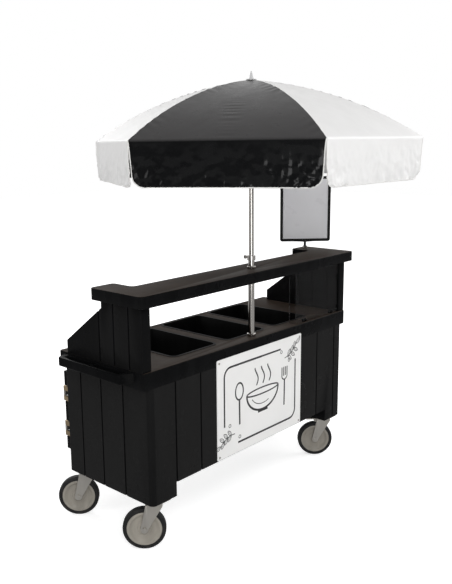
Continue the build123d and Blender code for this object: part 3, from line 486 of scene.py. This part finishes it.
wheel_face = (
    (0.0061, 0.0220),
    (0.0125, 0.0220),
    (0.0160, 0.0205),
    (0.0190, 0.0180),
    (0.0200, 0.0110),
    (0.0225, 0.0085),
    (0.0330, 0.0066),
    (0.0340, 0.0078),
    (0.0375, 0.0078),
    (0.0385, 0.0064),
    (0.0560, 0.0064),
    (0.0600, 0.0074),
    (0.0680, 0.0140),
    (0.0705, 0.0165),
    (0.0730, 0.0172),
    (0.0815, 0.0172),
    (0.0825, 0.0163),
)
wheel_outline = wheel_face + tuple((radius, -along) for radius, along in reversed(wheel_face))
wheel_outline = wheel_outline + (wheel_outline[0],)
for joint in frame["joints"]:
    if joint["name"].startswith("wheel_"):
        corner = joint["child"].removeprefix("wheel_")
        wheel = spin_profile(wheel_outline, joint["pos_m"], joint["axis"])
        settle(wheel, f"wheel_disc_{corner}", wheel_plastic, joint["child"], (f"caster_wheel_{corner}",))


# Banner drawing: a plain rounded frame line and a made-up bowl, spoon, fork and leaves in ink

banner_low, banner_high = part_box("front_banner")
banner_middle = (Vector(banner_low) + Vector(banner_high)) / 2
banner_face = banner_low[1]
ink_height = 0.0003

# Its strokes, in millimetres from the banner's middle, degrees and counts
leaf_steps = 12
leaf_half_width = 0.22
stem_steps = 12
stem_curl = 26
run_steps = 180
frame_half = (292, 203)
frame_corner = 48
frame_weight = 10.5
bowl_middle = (10, 20)
bowl_radius = 130


def tube_along(points, radius, name, resolution=3, closed=False):
    """A round tube along a row of points, as a mesh."""
    curve = bpy.data.curves.new(name, "CURVE")
    curve.dimensions = "3D"
    curve.bevel_depth = radius
    curve.bevel_resolution = resolution
    curve.use_fill_caps = True
    spline = curve.splines.new("POLY")
    spline.points.add(len(points) - 1)
    spline.use_cyclic_u = closed
    for target, place in zip(spline.points, points):
        target.co = (*place, 1)
    made = bpy.data.objects.new(name, curve)
    bpy.context.collection.objects.link(made)
    activate(made)
    bpy.ops.object.convert(target="MESH")
    piece = bpy.context.object
    smooth(piece, 60)
    return piece


def ink(points, weight):
    """A flat inked line on the banner's face through points given from its middle, in millimetres."""
    places = [(banner_middle.x + x / 1000, banner_face, banner_middle.z + z / 1000) for x, z in points]
    line = tube_along(places, weight / 2000, "ink", 1)
    for vertex in line.data.vertices:
        vertex.co.y = banner_face - ink_height * (0.4 + 0.6 * (banner_face - vertex.co.y) / (weight / 2000))
    return line


def arc(centre, radius, start, end, steps=24, squeeze=1.0):
    """Points on an arc between two angles in degrees, flattened upright by a share."""
    turns = [radians(start + (end - start) * step / steps) for step in range(steps + 1)]
    return [(centre[0] + radius * cos(turn), centre[1] + radius * squeeze * sin(turn)) for turn in turns]


def leaf(root, angle, length):
    """A leaf outline with its middle vein, growing from a root at an angle."""
    turn = radians(angle)
    edge = []
    for side in (1, -1):
        steps = range(leaf_steps + 1) if side > 0 else range(leaf_steps, -1, -1)
        for step in steps:
            along = length * step / leaf_steps
            out = side * length * leaf_half_width * sin(pi * step / leaf_steps) ** 0.8
            edge.append((root[0] + along * cos(turn) - out * sin(turn), root[1] + along * sin(turn) + out * cos(turn)))
    tip = (root[0] + 0.8 * length * cos(turn), root[1] + 0.8 * length * sin(turn))
    return [ink(edge, 4.2), ink([root, tip], 2.6)]


def sprig(root, angle, size):
    """A curved stem with pairs of leaves."""
    lines = []
    stem = []
    for step in range(stem_steps + 1):
        turn = radians(angle + stem_curl * step / stem_steps)
        along = size * step / stem_steps
        stem.append((root[0] + along * cos(turn), root[1] + along * sin(turn)))
    lines.append(ink(stem, 5))
    for step in (3, 6, 9):
        for lean in (48, -48):
            lines += leaf(stem[step], angle + stem_curl * step / stem_steps + lean, size * 0.34)
    lines += leaf(stem[stem_steps], angle + 30, size * 0.36)
    return lines


def frame_run(start, end, half_width, half_height, radius):
    """Part of the rounded frame line, walked clockwise from the middle of the top by its share of the way."""
    corners = ((1, 1, 90), (1, -1, 0), (-1, -1, 270), (-1, 1, 180))
    walk = [(0, half_height)]
    for sign_x, sign_z, first in corners:
        centre = (sign_x * (half_width - radius), sign_z * (half_height - radius))
        walk += arc(centre, radius, first, first - 90, 12)
    walk.append((0, half_height))
    lengths = [0]
    for before, after in zip(walk, walk[1:]):
        lengths.append(lengths[-1] + hypot(after[0] - before[0], after[1] - before[1]))
    run = []
    for step in range(run_steps + 1):
        goal = (start + (end - start) * step / run_steps) * lengths[-1]
        index = max(i for i, length in enumerate(lengths[:-1]) if length <= goal)
        share = (goal - lengths[index]) / (lengths[index + 1] - lengths[index])
        before, after = walk[index], walk[index + 1]
        run.append((before[0] + share * (after[0] - before[0]), before[1] + share * (after[1] - before[1])))
    return run


drawing = [
    ink(frame_run(start, end, *frame_half, frame_corner), frame_weight)
    for start, end in ((0.185, 0.60), (0.70, 1.0), (0.0, 0.085))
]
drawing += [
    ink(arc(bowl_middle, bowl_radius, 180, 360, 36, 0.78), 13),
    ink(arc(bowl_middle, bowl_radius, 0, 360, 48, 0.13), 9),
    ink([(-30, -88), (50, -88)], 13),
    ink(arc(bowl_middle, 96, 205, 300, 24, 0.72), 5),
    ink(arc((-178, 62), 30, 0, 360, 30, 1.45), 10),
    ink([(-178, 18), (-176, -112)], 13),
]
for start in (-42, 10, 62):
    steam = [(start + 13 * sin(step / 4), 58 + 5.2 * step) for step in range(19)]
    drawing.append(ink(steam, 9.5))
for tine in (-22, -7, 8, 23):
    drawing.append(ink([(196 + tine, 100), (196 + tine, 52)], 7.5))
drawing.append(ink(arc((196.5, 52), 23, 180, 360, 20, 0.9), 7.5))
drawing.append(ink([(196.5, 31), (194, -112)], 12))
drawing += sprig((196, 148), 4, 118)
drawing += sprig((-214, -150), 172, 112)
for place in ((236, 128), (168, 186), (-176, -176), (-252, -98)):
    drawing.append(ink(arc(place, 8, 0, 360, 16), 4.2))
activate(drawing[0])
for line in drawing:
    line.select_set(True)
bpy.ops.object.join()
banner_art = bpy.context.object
apply_place(banner_art)
settle(banner_art, "banner_line_drawing", ink_line, "cart")


# Canopy. Each panel is two halves that meet at its middle seam, so that it folds with its ribs

canopy_rise = apex_height - edge_height
canopy_chord = hypot(edge_distance, canopy_rise)
canopy_radius = (canopy_chord / 2) ** 2 / (2 * canopy_sagitta) + canopy_sagitta / 2
arc_out = (canopy_sagitta - canopy_radius) / canopy_chord
arc_centre_u = edge_distance / 2 + canopy_rise * arc_out
arc_centre_z = apex_height - canopy_rise / 2 + edge_distance * arc_out
full_spread = edge_distance * tan(half_turn)

# Wrinkles of the cloth, in metres: how high each kind stands and how far from its seam or rib it runs
seam_pucker_height = 0.0021
seam_pucker_reach = 0.04
rib_pucker_height = 0.0032
rib_pucker_reach = 0.055
cloth_pull = 0.0009
calm_round_mast = 0.2
calm_at_edge = 0.03
flap_soft_reach = 0.008
flap_crease_reach = 0.0085
flap_fold_reach = 0.005
flap_calm_depth = 0.02
flap_lean = 0.006
flap_out_limit = 0.008


def canopy_height(distance):
    """Height of the cloth at a distance from the mast square to the panel's edge."""
    return arc_centre_z + sqrt(canopy_radius**2 - (distance - arc_centre_u) ** 2)


def crumple(place, scale, reach):
    """Smooth seeded noise, from minus reach to reach."""
    return reach * noise.fractal(Vector(place) * scale, 0.8, 2.1, 3)


def canopy_point(sector, side, across, distance):
    """A point of the upper cloth: across is 0 at the middle seam and 1 at the rib."""
    spread = across * distance * tan(half_turn)
    rib_away = distance * tan(half_turn) - spread
    share = distance / edge_distance
    sag = panel_sag * (1 - across**2) * sin(pi * min(share, 1)) ** 0.8
    seed = sector * 3.7 + side
    seam_patch = max(0, noise.noise((distance * 5, sector * 3.7, 2)) + 0.25)
    seam_pucker = seam_pucker_height * seam_patch * exp(-((spread / seam_pucker_reach) ** 2)) * sin(
        distance * 240 + 5 * noise.noise((distance * 11, sector * 3.7, 0))
    )
    rib_patch = max(0, noise.noise((distance * 6, seed, 9)) + 0.15)
    rib_pucker = rib_pucker_height * rib_patch * exp(-((rib_away / rib_pucker_reach) ** 2)) * sin(
        distance * 150 - rib_away * 90 + 6 * noise.noise((distance * 8, seed, 5))
    )
    pull = crumple((spread, distance, sector * 3.7), 9, cloth_pull)
    hush = min(1, distance / calm_round_mast) * min(1, (edge_distance - distance) / calm_at_edge + 0.25)
    height = canopy_height(distance) - sag + (seam_pucker + rib_pucker + pull) * hush
    return distance, spread, min(height, canopy_height(distance) + 0.002)


def flap_spread(depth):
    """Half the flap's width at a depth below the hem: a small gap opens and the corner is round."""
    width = full_spread - flap_gap * (depth / flap_drop) ** 0.6
    rise = depth - (flap_drop - flap_corner)
    if rise <= 0:
        return width
    return width - flap_corner + sqrt(max(0, flap_corner**2 - rise**2))


def flap_point(sector, side, across, depth):
    """A point of the flap, which hangs from the hem with crumples growing downwards."""
    spread = across * flap_spread(depth)
    seed = sector * 5.3
    grow = depth / flap_drop
    corner_pull = 0.35 + 0.65 * across**2
    along = spread * side
    soft = crumple((along, depth * 0.7, seed), 9, flap_soft_reach) * grow
    crease = crumple((along * 1.4, depth * 0.8, seed + 8), 30, flap_crease_reach) * grow * corner_pull
    fold = crumple((along * 2.2 + depth, depth * 1.1, seed + 3), 38, flap_fold_reach) * grow**2 * corner_pull
    out = (soft + crease + fold) * min(1, depth / flap_calm_depth)
    return edge_distance - flap_lean * grow + min(out, flap_out_limit), spread, edge_height - depth


def to_frame(sector, side, point):
    """From a panel's own distance, spread and height to the frame."""
    distance, spread, height = point
    angle = sector * 2 * half_turn + half_turn
    outwards = Vector((cos(angle), sin(angle), 0))
    along = Vector((-sin(angle), cos(angle), 0)) * side
    return outwards * distance + along * spread + Vector((0, 0, height))


def rib_of(sector, side):
    """The number of the rib that carries this half of a panel."""
    return (sector + (1 if side > 0 else 0)) % rib_count + 1


across_cells = 44
upper_rows = 84
flap_rows = 30
piping_steps = 40


def canopy_half(sector, side):
    """One half panel with its half of the flap, as one sheet of cloth."""
    bpy.ops.mesh.primitive_grid_add(
        x_subdivisions=across_cells, y_subdivisions=upper_rows + flap_rows, size=1, calc_uvs=True
    )
    piece = bpy.context.object
    columns = across_cells + 1
    uv_place = {}
    for vertex in piece.data.vertices:
        column = vertex.index % columns
        row = vertex.index // columns
        across = column / across_cells
        if row <= upper_rows:
            share = row / upper_rows
            distance = canopy_hole + (edge_distance - canopy_hole) * share
            point = canopy_point(sector, side, across, distance)
            uv_place[vertex.index] = (point[1] * side, distance)
        else:
            depth = flap_drop * (row - upper_rows) / flap_rows
            point = flap_point(sector, side, across, depth)
            uv_place[vertex.index] = (point[1] * side, edge_distance + depth)
        vertex.co = to_frame(sector, side, point)
    for corner in piece.data.loops:
        piece.data.uv_layers.active.data[corner.index].uv = uv_place[corner.vertex_index]
    piece.location = (0, 0, 0)
    activate(piece)
    bpy.ops.object.mode_set(mode="EDIT")
    bpy.ops.mesh.select_all(action="SELECT")
    if side < 0:
        bpy.ops.mesh.flip_normals()
    bpy.ops.object.mode_set(mode="OBJECT")
    finish_modifier(piece, "SOLIDIFY", thickness=cloth_gauge, offset=-1)
    smooth(piece, 60)
    return piece


def piping_path(sector, side):
    """Points round the flap's free edge: down its side, round the corner and along the bottom."""
    points = []
    for step in range(piping_steps + 1):
        depth = flap_drop * sin(pi / 2 * step / piping_steps)
        points.append(flap_point(sector, side, 1, depth))
    for step in range(1, piping_steps + 1):
        points.append(flap_point(sector, side, 1 - step / piping_steps, flap_drop))
    return [to_frame(sector, side, point) for point in points]


for sector in range(rib_count):
    colour = "black" if sector in black_sectors else "white"
    cloth = black_cloth if colour == "black" else white_cloth
    for side, hand in ((-1, "a"), (1, "b")):
        rib = rib_of(sector, side)
        half = canopy_half(sector, side)
        settle(
            half,
            f"canopy_{colour}_{sector + 1}{hand}",
            cloth,
            f"rib_{rib}",
            (f"canopy_{colour}_panels",),
        )
        edging = tube_along(piping_path(sector, side), piping_radius, "piping")
        settle(edging, f"piping_{sector + 1}{hand}", piping_white, f"rib_{rib}")
        for cloth_piece in (half, edging):
            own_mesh(cloth_piece)


# Floor, light and camera

floor_glow = 0.6
floor_gleam = 0.45
floor_near = 1.3
floor_far = 2.6
soft_studio = 0.42
dim_studio = 0.12
dim_until = 0.1
white_from = 0.6
cart_middle = (0, 0, 1)


def floor_material():
    """A pale floor: white to the camera, an even grey in reflections, and it takes the cart's shadow."""
    material, shader = new_material("studio_floor", (0.82, 0.82, 0.82), 0.9, Specular_IOR_Level=0.0)
    glow = add_node(material, "ShaderNodeEmission", Color=(1, 1, 1, 1))
    rays = add_node(material, "ShaderNodeLightPath")
    seen = add_node(material, "ShaderNodeMath", operation="MAXIMUM")
    link(material, rays.outputs["Is Camera Ray"], seen.inputs[0])
    link(material, rays.outputs["Is Transmission Ray"], seen.inputs[1])
    shown = add_node(material, "ShaderNodeMath", operation="MULTIPLY")
    link(material, seen.outputs[0], shown.inputs[0])
    place = add_node(material, "ShaderNodeTexCoord")
    away = add_node(material, "ShaderNodeVectorMath", operation="LENGTH")
    link(material, place.outputs["Object"], away.inputs[0])
    level = ramp(material, away.outputs["Value"], floor_near, floor_far, floor_glow, 1.0)
    link(material, level, shown.inputs[1])
    link(material, shown.outputs[0], glow.inputs["Strength"])
    both = add_node(material, "ShaderNodeAddShader")
    link(material, shader.outputs[0], both.inputs[0])
    link(material, glow.outputs[0], both.inputs[1])
    mirrored = add_node(material, "ShaderNodeEmission", Color=(1, 1, 1, 1), Strength=floor_gleam)
    shown_floor = add_node(material, "ShaderNodeMixShader")
    link(material, rays.outputs["Is Glossy Ray"], shown_floor.inputs[0])
    link(material, both.outputs[0], shown_floor.inputs[1])
    link(material, mirrored.outputs[0], shown_floor.inputs[2])
    link(material, shown_floor.outputs[0], material.node_tree.nodes["Material Output"].inputs["Surface"])
    return material


bpy.ops.mesh.primitive_plane_add(size=40, location=(0, 0, 0))
floor = bpy.context.object
floor.name = "studio_floor"
dress(floor, floor_material())

# The world is white to the camera and through glass; reflections see it dim behind the camera
world = bpy.data.worlds.new("studio")
bpy.context.scene.world = world
world.use_nodes = True
tree = world.node_tree
soft = tree.nodes["Background"]
soft.inputs["Color"].default_value = (1, 1, 1, 1)
soft.inputs["Strength"].default_value = soft_studio
white = tree.nodes.new("ShaderNodeBackground")
white.inputs["Color"].default_value = (1, 1, 1, 1)
ray_direction = tree.nodes.new("ShaderNodeTexCoord")
towards_backdrop = tree.nodes.new("ShaderNodeVectorMath")
towards_backdrop.operation = "DOT_PRODUCT"
towards_backdrop.inputs[1].default_value = (sin(camera_yaw), cos(camera_yaw), 0)
backdrop_share = tree.nodes.new("ShaderNodeMapRange")
for key, number in (("From Min", dim_until), ("From Max", white_from), ("To Min", dim_studio - 1), ("To Max", 0)):
    backdrop_share.inputs[key].default_value = number
white_strength = tree.nodes.new("ShaderNodeMath")
white_strength.operation = "MULTIPLY_ADD"
white_strength.inputs[2].default_value = 1.0
rays = tree.nodes.new("ShaderNodeLightPath")
seen = tree.nodes.new("ShaderNodeMath")
seen.operation = "MAXIMUM"
seen_all = tree.nodes.new("ShaderNodeMath")
seen_all.operation = "MAXIMUM"
chosen = tree.nodes.new("ShaderNodeMixShader")
for source, target in (
    (ray_direction.outputs["Generated"], towards_backdrop.inputs[0]),
    (towards_backdrop.outputs["Value"], backdrop_share.inputs["Value"]),
    (rays.outputs["Is Glossy Ray"], white_strength.inputs[0]),
    (backdrop_share.outputs["Result"], white_strength.inputs[1]),
    (white_strength.outputs[0], white.inputs["Strength"]),
    (rays.outputs["Is Camera Ray"], seen.inputs[0]),
    (rays.outputs["Is Glossy Ray"], seen.inputs[1]),
    (seen.outputs[0], seen_all.inputs[0]),
    (rays.outputs["Is Transmission Ray"], seen_all.inputs[1]),
    (seen_all.outputs[0], chosen.inputs[0]),
    (soft.outputs[0], chosen.inputs[1]),
    (white.outputs[0], chosen.inputs[2]),
    (chosen.outputs[0], tree.nodes["World Output"].inputs["Surface"]),
):
    tree.links.new(source, target)


def area_lamp(name, place, aim, size, power):
    """A square lamp at a place, turned to what it is aimed at."""
    data = bpy.data.lights.new(name, "AREA")
    data.shape = "SQUARE"
    data.size = size
    data.energy = power
    lamp = bpy.data.objects.new(name, data)
    bpy.context.collection.objects.link(lamp)
    lamp.location = place
    lamp.rotation_euler = (Vector(aim) - Vector(place)).to_track_quat("-Z", "Y").to_euler()


area_lamp("key", (-3.2, -4.2, 4.6), cart_middle, 3.0, 128)
area_lamp("fill", (3.8, -2.4, 3.4), cart_middle, 3.0, 115)
area_lamp("rear", (0.5, 4.5, 4.0), cart_middle, 3.0, 90)
area_lamp("side", (-4.6, 1.2, 2.2), cart_middle, 2.0, 34)
area_lamp("low", (-3.4, -3.6, 1.0), (0.3, 0, 1.1), 1.6, 34)

forward = Vector((cos(camera_pitch) * sin(camera_yaw), cos(camera_pitch) * cos(camera_yaw), -sin(camera_pitch)))
level_right = Vector((cos(camera_yaw), -sin(camera_yaw), 0))
level_up = level_right.cross(forward)
turned_right = level_right * cos(camera_roll) + level_up * sin(camera_roll)
turned_up = level_up * cos(camera_roll) - level_right * sin(camera_roll)
lens = bpy.data.cameras.new("photo_camera")
lens.sensor_fit = "VERTICAL"
lens.sensor_height = sensor_mm
lens.lens = lens_px / frame_height_px * sensor_mm
lens.shift_x = shift_px[0] / frame_height_px
lens.shift_y = shift_px[1] / frame_height_px
lens.clip_end = 60
camera = bpy.data.objects.new("photo_camera", lens)
bpy.context.collection.objects.link(camera)
turn = Matrix((turned_right, turned_up, -forward)).transposed().to_4x4()
camera.matrix_world = Matrix.Translation(camera_place) @ turn
bpy.context.scene.camera = camera
bpy.context.scene.view_settings.view_transform = "Standard"
